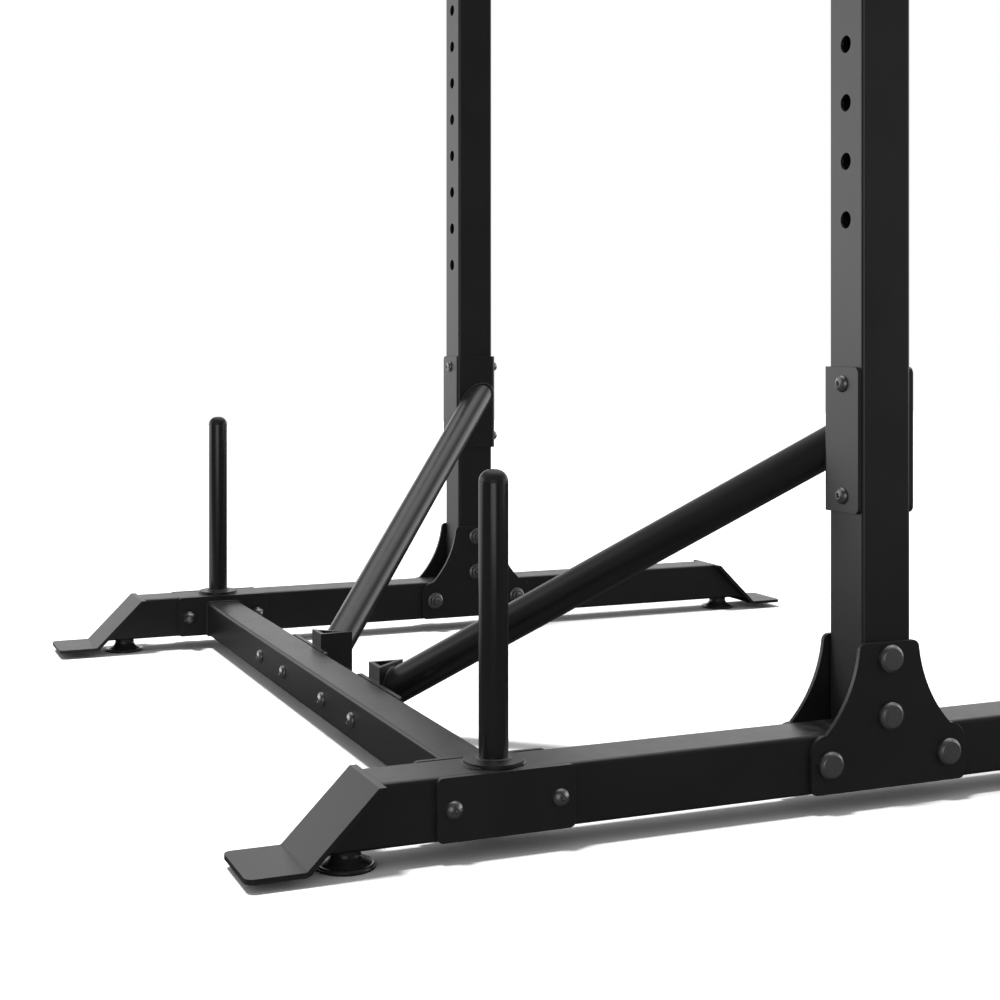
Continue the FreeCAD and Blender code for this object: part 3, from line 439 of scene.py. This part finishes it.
def skin(name, grids, body, slot, replaces=(), loop=False):
    """A piece from grids of rings, each (rows, points, 3) with its points closed into a ring.
    `loop` joins the last ring to the first. Every point keeps its distance to its ring's middle."""
    points, faces, radii, start = [], [], [], 0
    for grid in grids:
        rows, across = grid.shape[:2]
        index = start + np.arange(rows * across).reshape(rows, across)
        if loop:
            index = np.vstack([index, index[:1]])
        index = np.hstack([index, index[:, :1]])
        quads = np.stack([index[:-1, :-1], index[:-1, 1:], index[1:, 1:], index[1:, :-1]], axis=-1)
        faces.append(quads.reshape(-1, 4))
        points.append(grid.reshape(-1, 3))
        radii.append(np.linalg.norm(grid - grid.mean(axis=1, keepdims=True), axis=2).ravel())
        start += rows * across
    mesh = bpy.data.meshes.new(name)
    mesh.from_pydata(np.vstack(points).tolist(), [], np.vstack(faces).tolist())
    mesh.attributes.new("radius", "FLOAT", "POINT").data.foreach_set("value", np.hstack(radii))
    shell = bmesh.new()
    shell.from_mesh(mesh)
    bmesh.ops.remove_doubles(shell, verts=shell.verts, dist=MERGE_REACH)
    bmesh.ops.recalc_face_normals(shell, faces=shell.faces)
    shell.to_mesh(mesh)
    shell.free()
    mesh.polygons.foreach_set("use_smooth", np.ones(len(mesh.polygons), bool))
    mesh.set_sharp_from_angle(angle=SMOOTH_BELOW)
    mesh.materials.append(finishes[slot])
    piece = bpy.data.objects.new(name, mesh)
    bpy.context.scene.collection.objects.link(piece)
    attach(piece, body)
    if replaces:
        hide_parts(*replaces)
    return piece


# %% [markdown]
# ## Screw threads
#
# A thread is a groove that climbs one pitch for each turn. A real one could be swept along a helix,
# but a rod whose radius depends on height and angle together gives the same groove in one grid, and
# its end is bevelled by never letting the radius pass a cone.

# %% A threaded rod
THREAD_STEPS = 8
THREAD = (6 * MM, 0.9 * MM, 1.75 * MM)  # radius, depth and pitch of a 12 mm thread


def threaded(radius, depth, pitch, low, high, bevel):
    """Rings of a rod with a thread. The radius falls by `depth` where the size of
    2 frac(height / pitch - turn) - 1 is 1, and near the top by the cone that takes `bevel` off
    the rod's end."""
    height = np.linspace(low, high, int((high - low) / pitch * THREAD_STEPS))[:, None]
    turn = np.arange(SIDES)[None, :] / SIDES
    groove = np.abs(2 * ((height / pitch - turn) % 1) - 1)
    reach = np.minimum(radius - depth * groove, radius - bevel + (high - height))
    angle = 2 * np.pi * turn
    rings = np.stack([reach * np.cos(angle), reach * np.sin(angle), height + 0 * angle], axis=-1)
    return np.concatenate([rings[:1] * (0, 0, 1), rings, rings[-1:] * (0, 0, 1)])


# %% [markdown]
# ## Gusset bolts and nuts
#
# Four large bolts clamp each pair of gussets. Their heads are wide, flat and bevelled, like a
# carriage bolt's without the dome. On the inner side a flanged hexagon nut takes the thread, which
# stands a little proud. The hexagon's corners are cut by a cone, which leaves the curved bevels
# that every turned nut has.

# %% Gusset bolts and nuts
STANDS = (("left", -1), ("right", 1))
UPRIGHT_Y, BEAM_LOW, BEAM_TOP, HALF_TUBE = -46.5 * MM, 21 * MM, 81 * MM, 30 * MM
BEAM_MIDDLE = BEAM_LOW + HALF_TUBE
GUSSET, HEAD = 5 * MM, 7 * MM
GUSSET_BOLTS = [(0, 95), (0, 154), (-73.3, 51), (73.3, 51)]
THREAD_INSIDE, THREAD_OUTSIDE, THREAD_BEVEL = -12 * MM, 13 * MM, 1.2 * MM
HEX_CONE = math.tan(math.radians(60))
HEX_BEVEL, FACE_SHARE, COUNTERSINK = 1.8 * MM, 0.94, 0.7 * MM


def head_rows():
    """A flat head with a bevel 3 mm wide, softened at each corner, on its shank."""
    outline = [(0, 0), (6, 0), (11.4, 0), (14.5, 3.1), (14.5, 7), (6, 7), (6, 60)]
    return [(r * MM, -z * MM) for r, z in softened(outline, 0.8)] + [(0, -60 * MM)]


def hexagon_rows(flats, low, high, bore):
    """A hexagon and a countersunk bore. A cone cuts its corners: no radius passes FACE_SHARE of
    half the flats + the depth below the top times HEX_CONE."""
    levels = np.linspace(high - HEX_BEVEL, high, 10)
    half, floor_of_bore = flats / 2, high - COUNTERSINK
    cut = [(half, z, 1.0, FACE_SHARE * half + (high - z) * HEX_CONE) for z in levels]
    sides = [(half, low, 1.0)] + cut
    return sides + [(bore + COUNTERSINK, high), (bore, floor_of_bore), (0, floor_of_bore)]


def flange_nut_rows():
    """A flange 26 mm wide with a hexagon 19 mm across its flats on it, 10 mm high in all."""
    flange = [(0, 0), (13 * MM, 0), (13 * MM, 1.2 * MM), (10.9 * MM, 2.7 * MM)]
    return flange + hexagon_rows(19 * MM, 2.7 * MM, 10 * MM, 6.1 * MM)


for side, sign in STANDS:
    outer = sign * (STAND_X + HALF_TUBE + GUSSET)
    inner = sign * (STAND_X - HALF_TUBE - GUSSET)
    spots = [(UPRIGHT_Y + y * MM, z * MM) for y, z in GUSSET_BOLTS]
    head, nut = turned(head_rows()), turned(flange_nut_rows())
    end = threaded(*THREAD, THREAD_INSIDE, THREAD_OUTSIDE, THREAD_BEVEL)
    heads = [aimed(head, (outer + sign * HEAD, y, z), (sign, 0, 0)) for y, z in spots]
    ends = [aimed(end, (inner, y, z), (-sign, 0, 0)) for y, z in spots]
    nuts = [aimed(nut, (inner, y, z), (-sign, 0, 0)) for y, z in spots]
    skin(side + "_gusset_bolts_turned", heads + ends, "frame", "bolt_steel",
         [side + "_gusset_bolts"])
    skin(side + "_gusset_nuts_turned", nuts, "frame", "bolt_steel", [side + "_gusset_nuts"])
print("gusset bolts:", 2 * len(GUSSET_BOLTS))

# %% [markdown]
# ## Cap nuts and button heads
#
# The smaller bolts have button heads with a hexagon socket, and end in cap nuts that hide the
# thread. A cap nut is a hexagon with half a ball on top: a quarter circle, turned round the axis.
# The socket is six-sided rows inside round ones.

# %% Cap nuts and button heads
BACKING = 5 * MM
BRACKET_BOLTS = [(STAND_X, -12 * MM, z * MM) for z in (320, 437)]
FOOT_BOLTS = [(x * MM, 407.5 * MM, 46 * MM) for x in (88, 205)]
JOINT_BOLTS = [(STAND_X + HALF_TUBE + BACKING, (382.5 + y) * MM, BEAM_MIDDLE) for y in (-54, 54)]
BRACKET_GRIP, FOOT_GRIP, JOINT_GRIP = 69 * MM, 55 * MM, 70 * MM


def cap_nut_rows():
    """A hexagon 17 mm across its flats and 8 mm high, and a dome of radius 8.2 mm round a point
    8.7 mm above the seat: radius 8.2 cos turn, height 8.7 + 8.2 sin turn."""
    turns = np.linspace(0, np.pi / 2, 14)
    rows = [(0, 0), (7.8, 0), (8.5, 0.6, 1.0, 9.5)]
    rows += [(8.5, z, 1.0, 8.2 + (8 - z) * HEX_CONE) for z in np.linspace(6.9, 8, 7)]
    rows += [(8.2, 8.1)] + [(8.2 * np.cos(a), 8.7 + 8.2 * np.sin(a)) for a in turns]
    return [(row[0] * MM, row[1] * MM) + row[2:3] + tuple(r * MM for r in row[3:]) for row in rows]


def button_rows():
    """A domed head 18 mm wide and 6 mm high, with a hexagon socket 6 mm across its flats. The
    dome's radius is 9 sin turn, and its height goes with cos turn from 1 to about 6 mm."""
    dome = [(9 * np.sin(a), 1 + 5 * (np.cos(a) - 0.13) / 0.87) for a in np.linspace(1.44, 0.5, 10)]
    rows = [(0, -10), (5, -10), (5, 0), (9, 0), (9, 0.9)] + dome
    rows += [(3.35, 6.0), (3.0, 5.7, 1.0), (3.0, 2.6, 1.0), (0, 2.2)]
    return [(row[0] * MM, row[1] * MM) + row[2:] for row in rows]


mirror = np.array([-1, 1, 1])
heads, nuts = [], []
for spots, facing, grip in ((BRACKET_BOLTS, (0, 1, 0), BRACKET_GRIP),
                            (FOOT_BOLTS, (0, 1, 0), FOOT_GRIP),
                            (JOINT_BOLTS, (1, 0, 0), JOINT_GRIP)):
    back = -np.array(facing, float)
    heads += [aimed(turned(button_rows()), spot, facing) for spot in spots]
    nuts += [aimed(turned(cap_nut_rows()), np.array(spot) + back * grip, back) for spot in spots]
skin("brace_bolts_turned", heads + [head * mirror for head in heads], "frame", "bolt_steel",
     ["brace_bolts"])
skin("domed_nuts_turned", nuts + [nut * mirror for nut in nuts], "frame", "bolt_steel",
     ["domed_nuts"])
print("button heads:", 2 * len(heads), "cap nuts:", 2 * len(nuts))

# %% [markdown]
# ## Screws of the bar cups
#
# Two screws hold each cup's lining. Their heads are sunk below its face so that the bar never
# touches them, and have a hexagon socket. Their places are read from the solids that they replace.

# %% Screws of the bar cups
SCREW_HEAD = 4.5 * MM


def sunk_rows():
    """A flat head 9 mm wide with a softened rim and a hexagon socket 3.2 mm across its flats."""
    head = softened([(2.5, -12), (2.5, -2.6), (4.5, -2.6), (4.5, 0), (2.3, 0), (1.9, -0.3)], 0.5)
    socket = [(1.6, -0.5, 1.0), (1.6, -1.8, 1.0), (0, -2.1)]
    rows = [(0, -12)] + [tuple(row) for row in head] + socket
    return [(row[0] * MM, row[1] * MM) + row[2:] for row in rows]


for side, sign in STANDS:
    solid = side + "_cup_screws"
    low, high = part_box(solid)
    spots = [(sign * STAND_X, low[1], z) for z in (low[2] + SCREW_HEAD, high[2] - SCREW_HEAD)]
    screws = [aimed(turned(sunk_rows()), spot, (0, -1, 0)) for spot in spots]
    skin(solid + "_turned", screws, body_of[solid], slot_of[solid], [solid])
    print(solid, "at heights", [round(spot[2], 4) for spot in spots])

# %% [markdown]
# ## Levelling feet
#
# Each foot is a threaded stud with a rubber pad moulded round its flange. The pad's outline has a
# rolled rim on the floor, a shallow dish above it and a flared neck. Turned about the stud, that
# outline is the whole pad. Its corners are softened more than a bolt's.

# %% Levelling feet
FOOT_Y = 529.5 * MM
STUD_LOW, STUD_TOP, STUD_BEVEL = 15 * MM, 43 * MM, 1.5 * MM
PAD_SOFTENED = 1.1
PAD = [(0, 0.0), (24.5, 0.0), (25.4, 0.8), (26.3, 0.0), (27.9, 0.0), (28.5, 1.2), (28.5, 3.0),
       (27.6, 4.5), (26.0, 4.9), (24.6, 4.2), (21.5, 6.0), (17.0, 8.2), (14.6, 11.5), (14.0, 15.0),
       (14.0, 20.9), (6.2, 20.9), (6.2, 14.0), (0, 14.0)]
pad_rows = [(r * MM, z * MM) for r, z in softened(PAD, PAD_SOFTENED)]
stud = threaded(*THREAD, STUD_LOW, STUD_TOP, STUD_BEVEL)
for side, sign in STANDS:
    for end, y in (("rear", FOOT_Y), ("front", -FOOT_Y)):
        foot = side + "_" + end + "_foot"
        spot = (sign * STAND_X, y, 0)
        skin(foot + "_pad_moulded", [aimed(turned(pad_rows), spot, (0, 0, 1))], foot, "foot_rubber",
             [foot + "_pad"])
        skin(foot + "_stud", [aimed(stud, spot, (0, 0, 1))], foot, "bare_steel", [foot + "_stem"])
print("foot height at rest:", round(max(z for r, z in pad_rows) / MM, 1), "mm")

# %% [markdown]
# ## Weld beads
#
# The welder's torch lays small overlapping pools along a corner, like a row of leaning coins. The
# bead is a rope of varying thickness laid in the corner, half buried in both pieces. Its ripples
# are crescents, because each pool cools from its rim inwards: across the bead, the ripple's phase
# lags by the cosine of the angle.

# %% A bead along a path
RIPPLE, RIPPLE_SAMPLES, ROUND_SAMPLES = 2.4 * MM, 6, 14
SAG, LAG = 0.12, 0.3
WANDER, QUIVER = 0.05, 0.03


def spaced(path, closed):
    """The path's points moved to even steps, a whole number of ripples in all."""
    path = np.vstack([path, path[:1]]) if closed else path
    run = np.hstack([0, np.cumsum(np.linalg.norm(np.diff(path, axis=0), axis=1))])
    count = max(2, round(run[-1] / RIPPLE)) * RIPPLE_SAMPLES
    steps = np.linspace(0, run[-1], count, endpoint=not closed)
    return np.stack([np.interp(steps, run, path[:, axis]) for axis in range(3)], axis=1), steps


def bead(path, up, radius, closed=True, seed=0):
    """Rings of a weld bead. The radius is multiplied by 1 - SAG / 2 + SAG ripple + a slow wander,
    and ripple is the root of 1 - (2 frac(length / RIPPLE + LAG cos angle) - 1) squared. An open
    bead narrows at its ends, and `seed` gives each bead its own wander."""
    path, steps = spaced(np.array(path, float), closed)
    if closed:
        along = np.roll(path, -1, axis=0) - np.roll(path, 1, axis=0)
    else:
        along = np.gradient(path, axis=0)
    along /= np.linalg.norm(along, axis=1, keepdims=True)
    up = np.array(up, float) / np.linalg.norm(up)
    side = np.cross(along, up)
    side /= np.linalg.norm(side, axis=1, keepdims=True)
    angle = np.linspace(0, 2 * np.pi, ROUND_SAMPLES, endpoint=False)[None, :]
    phase = (steps[:, None] / RIPPLE + LAG * np.cos(angle - np.pi / 4)) % 1
    ripple = np.sqrt(np.clip(1 - (2 * phase - 1) ** 2, 0, 1))
    share = steps[:, None] / steps[-1]
    wander = (WANDER * np.sin(2 * np.pi * (3 * share) + seed)
              + QUIVER * np.sin(2 * np.pi * (7 * share) + 2 * seed))
    reach = radius * (1 - SAG / 2 + SAG * ripple + wander)
    if not closed:
        reach = reach * np.sqrt(np.clip(1 - (2 * share - 1) ** 20, 0, 1))
    return (path[:, None] + reach[..., None] * (np.cos(angle)[..., None] * side[:, None]
                                                + np.sin(angle)[..., None] * up))


# %% [markdown]
# ## The corner that a bead lies in
#
# A bead needs the line where a tube meets a plate. The outline of the tube's section is drawn about
# its axis, and each of its points slides along the axis until it meets the plate. That gives an
# ellipse for a round tube that meets a plate at a slant, and the true cut of a square one.

# %% Where a tube meets a plane
AROUND = 120


def cut_of_tube(outline, middle, axis, up):
    """The outline of a tube where a plane cuts it. Each point (a, b) of the tube's outline lies at
    middle + a across + b rise, and slides along the axis until it meets the plane through the
    middle that is square to `up`."""
    axis, up, middle = (np.array(v, float) for v in (axis, up, middle))
    across = np.cross(axis, (0, 0, 1)) if abs(axis[2]) < 0.9 else np.array((1.0, 0, 0))
    across /= np.linalg.norm(across)
    rise = np.cross(across, axis)
    points = outline[:, :1] * across + outline[:, 1:] * rise
    return middle + points - (points @ up / (axis @ up))[:, None] * axis


def circle(radius, start=0, end=360, count=AROUND):
    """Points of a circle or an arc: radius times the cosine and the sine of the angle."""
    angle = np.radians(np.linspace(start, end, count, endpoint=end - start < 360))
    return radius * np.stack([np.cos(angle), np.sin(angle)], axis=1)


def rounded_square(size, corner):
    """Points at the distance `corner` round a smaller square: its corners, each with a quarter
    round."""
    inner = size / 2 - corner
    angle = np.radians(np.linspace(0, 90, 7)[None, :] + np.array([[0], [90], [180], [270]]))
    centres = inner * np.array([[1, 1], [-1, 1], [-1, -1], [1, -1]])[:, None, :]
    return (centres + corner * np.stack([np.cos(angle), np.sin(angle)], axis=-1)).reshape(-1, 2)


# %% [markdown]
# ## Where the stands are welded
#
# Closed beads run round the foot and the head of each brace, the storage pins and the cross beam's
# ends. Open ones follow the lower side of each slanted end plate, and two arcs hold each pin's
# flange. All are made on the right stand, and the left one's are their mirror images.

# %% Beads round the joints
PIN_Y = 382.5 * MM
BRACE_TOP = np.array((533.0, -46.5, 381.5)) * MM
BRACE_LOW = np.array((122.0, 330.5, 59.0)) * MM
BRACE_RADIUS, PIN_RADIUS, PIN_FLANGE = 21.2 * MM, 14.3 * MM, 4 * MM
CROSS_END, CROSS_SIZE, CORNER = 532.5 * MM, 50 * MM, 4 * MM
END_SLOPE = (0, math.sqrt(0.5), math.sqrt(0.5))
END_SEAT = 534.43 * MM
BRACE_BEAD, PIN_BEAD, CROSS_BEAD = 2.6 * MM, 2.2 * MM, 2.4 * MM
END_BEAD, FLANGE_BEAD = 2.6 * MM, 1.8 * MM

brace_axis = (BRACE_TOP - BRACE_LOW) / np.linalg.norm(BRACE_TOP - BRACE_LOW)
level = np.array([brace_axis[0], brace_axis[1], 0]) / np.hypot(*brace_axis[:2])
web, top = (-1, 0, 0), (0, 0, 1)
pin_foot = (STAND_X, PIN_Y, BEAM_TOP + PIN_FLANGE)
cross_end = (CROSS_END, PIN_Y, BEAM_LOW + CROSS_SIZE / 2)
cross_outline, brace_outline = rounded_square(CROSS_SIZE, CORNER), circle(BRACE_RADIUS)
loops = [
    bead(cut_of_tube(brace_outline, BRACE_TOP, brace_axis, web), web, BRACE_BEAD, seed=1),
    bead(cut_of_tube(brace_outline, BRACE_LOW, brace_axis, level), level, BRACE_BEAD, seed=2),
    bead(cut_of_tube(circle(PIN_RADIUS), pin_foot, top, top), top, PIN_BEAD, seed=3),
    bead(cut_of_tube(cross_outline, cross_end, (1, 0, 0), web), web, CROSS_BEAD, seed=4)]
skin("joint_welds", loops + [loop * mirror for loop in loops], "frame", "powder_coat", loop=True)
print("closed beads:", 2 * len(loops))

# %% Beads along the end plates and flanges
ARC_RADIUS, ARC_POINTS = 29 * MM, 40
UNDER_TOP = 6 * MM
seam = cut_of_tube(rounded_square(2 * HALF_TUBE, CORNER), (0, 0, BEAM_MIDDLE), (0, 1, 0), END_SLOPE)
low_side = seam[seam[:, 2] < BEAM_TOP - UNDER_TOP]
low_side = low_side[np.argsort(np.arctan2(low_side[:, 0], -(low_side[:, 2] - BEAM_MIDDLE)))]
low_side = low_side + (STAND_X, END_SEAT, 0)
flip = np.array([1, -1, 1])
flange_arcs = [circle(ARC_RADIUS, start, end, ARC_POINTS) for start, end in ((45, 135), (225, 315))]
flange_arcs = [np.hstack([arc, np.zeros((ARC_POINTS, 1))]) + (STAND_X, PIN_Y, BEAM_TOP)
               for arc in flange_arcs]
opens = [bead(low_side, (0, -END_SLOPE[1], -END_SLOPE[2]), END_BEAD, False, 5),
         bead(low_side * flip, (0, END_SLOPE[1], -END_SLOPE[2]), END_BEAD, False, 6)]
opens += [bead(arc, (0, 0, 1), FLANGE_BEAD, False, 7) for arc in flange_arcs]
skin("end_welds", opens + [one * mirror for one in opens], "frame", "powder_coat")
print("open beads:", 2 * len(opens))

# %% [markdown]
# ## Camera
#
# The stands were photographed from behind the left one with a level camera, so upright lines stay
# upright. The lens is shifted down instead of tilted, to take in the feet.

# %% Camera
CAMERA_PLACE = (-2.0059, 0.9838, 0.4836)
CAMERA_LOOK = (0.92196, -0.38728, 0)
LENS_MM, SENSOR_MM = 59.03, 36.0
SHIFT_X, SHIFT_Y = 0.0037, -0.1610
NEAREST, FURTHEST = 0.05, 100

camera_data = bpy.data.cameras.new("camera")
camera_data.lens, camera_data.sensor_width = LENS_MM, SENSOR_MM
camera_data.shift_x, camera_data.shift_y = SHIFT_X, SHIFT_Y
camera_data.clip_start, camera_data.clip_end = NEAREST, FURTHEST
camera = bpy.data.objects.new("camera", camera_data)
camera.location = CAMERA_PLACE
camera.rotation_euler = Vector(CAMERA_LOOK).to_track_quat("-Z", "Y").to_euler()
bpy.context.scene.collection.objects.link(camera)
bpy.context.scene.camera = camera
print("lens", LENS_MM, "mm at height", CAMERA_PLACE[2], "m")

# %% [markdown]
# ## Floor
#
# The floor is white to the camera and keeps the shadows. It bounces about half of the light that
# falls on it back to the stands. What the coat mirrors is set apart, with Light Path's Is Glossy
# Ray: a floor that is dark round the stands and lighter beyond them, with a smooth step along each
# of two directions. It ends a little behind the camera, so that the coat mirrors the studio's
# screen over its edge.

# %% Floor
FLOOR_REACH, FLOOR_BACK = 7.0, -2.6
FLOOR_SEEN, FLOOR_BOUNCE, FLOOR_ROUGHNESS = 1.25, 0.5, 0.9
MIRRORED_NEAR, MIRRORED_FAR = 0.04, 0.42

pale = Finish("pale_floor", Roughness=FLOOR_ROUGHNESS)
pale.shader.inputs["Specular IOR Level"].default_value = 0.0
seen, mirrored = pale.node("ShaderNodeLightPath", output=("Is Camera Ray", "Is Glossy Ray"))
x, y, z = pale.parts(pale.place)
further = pale.fade(0.79 * x + 0.55 * y, 0.3, 1.4) * pale.fade(0.92 * x - 0.39 * y, -0.6, 0.1)
shade = pale.blend(further, grey(MIRRORED_NEAR), grey(MIRRORED_FAR))
shade = pale.blend(mirrored, grey(FLOOR_BOUNCE), shade)
pale.set(Base_Color=pale.blend(seen, shade, grey(FLOOR_SEEN)))
ends = (FLOOR_BACK, FLOOR_REACH)
corners = [(x, y * FLOOR_REACH, 0) for x, y in zip(ends + ends[::-1], (-1, -1, 1, 1))]
floor_mesh = bpy.data.meshes.new("floor")
floor_mesh.from_pydata(corners, [], [(0, 1, 2, 3)])
floor_mesh.materials.append(pale.material)
floor = bpy.data.objects.new("floor", floor_mesh)
bpy.context.scene.collection.objects.link(floor)
print("floor from x =", FLOOR_BACK, "to", FLOOR_REACH, "m")

# %% [markdown]
# ## Lamp
#
# One soft lamp hangs overhead and a little to the rear, so each beam's shadow lies under it with a
# blurred edge. A sun lamp does that: it shines from one direction, and its angle is the blur. It
# isn't mirrored, because the studio below has what the coat mirrors.

# %% Lamp
LAMP_POWER, LAMP_SPREAD = 3.0, math.radians(12)
LAMP_FROM = (0.0, 0.27, 1.0)

lamp_data = bpy.data.lights.new("overhead", "SUN")
lamp_data.energy, lamp_data.angle = LAMP_POWER, LAMP_SPREAD
lamp = bpy.data.objects.new("overhead", lamp_data)
lamp.rotation_euler = Vector(LAMP_FROM).to_track_quat("Z", "Y").to_euler()
lamp.visible_glossy = False
bpy.context.scene.collection.objects.link(lamp)
print("lamp spread over", round(math.degrees(LAMP_SPREAD)), "degrees")

# %% [markdown]
# ## What the coat mirrors
#
# Black satin shows little of its own colour. What is seen on it is the studio: a white backdrop
# behind the stands, a dark room with one greyer wall, a narrow screen behind the camera that draws
# the light line down each pin, and a wide panel above. The backdrop dims with height, and to the
# left it first dips and is then brightest. Each is a smooth step along one direction: `ahead` is
# the way the camera looks, and `aside` is to its left. Only glossy rays meet this studio. To the
# camera the world is white, and to dull surfaces it is a plain grey.

# %% Studio
ROOM_FOR_DIFFUSE = 0.4
ROOM, WALL, SCREEN, PANEL = 0.038, 0.115, 0.68, 0.9
BACKDROP, BACKDROP_DIP, BACKDROP_LEFT = 1.25, 0.3, 0.76

world = bpy.data.worlds.new("studio")
world.use_nodes = True
bpy.context.scene.world = world
room = Nodes(world.node_tree)
seen, glossy = room.node("ShaderNodeLightPath", output=("Is Camera Ray", "Is Glossy Ray"))
x, y, z = room.parts(room.node("ShaderNodeTexCoord", output="Generated"))
ahead, aside = 0.92 * x - 0.39 * y, 0.39 * x + 0.92 * y
dip, left = room.fade(aside, 0.3, 0.65), room.fade(aside, 0.7, 1)
sheets = BACKDROP - BACKDROP_DIP * dip + BACKDROP_LEFT * left
backdrop = sheets * room.fade(ahead, -0.22, 0.06) * (1 - 0.9 * room.fade(z, 0.15, 0.55))
wall = room.fade(-1 * aside, 0.7, 1)
screen = room.fade(-1 * ahead, 0.89, 0.99)
panel = room.fade(0.3 * x - 0.25 * y + 0.92 * z, 0.72, 0.95)
mirrored = ROOM + WALL * wall + backdrop + SCREEN * screen + PANEL * panel
strength = seen.larger(glossy * mirrored).larger((1 - seen) * (1 - glossy) * ROOM_FOR_DIFFUSE)
background = room.tree.nodes["Background"]
background.inputs["Color"].default_value = grey(1)
feed(room.tree, background.inputs["Strength"], strength)
print("studio nodes:", len(room.tree.nodes))

# %% [markdown]
# ## Finish
#
# The Standard view shows each colour about as it is written. The dressed stands have to stay inside
# the box of the solids.

# %% Finish
bpy.context.scene.view_settings.view_transform = "Standard"
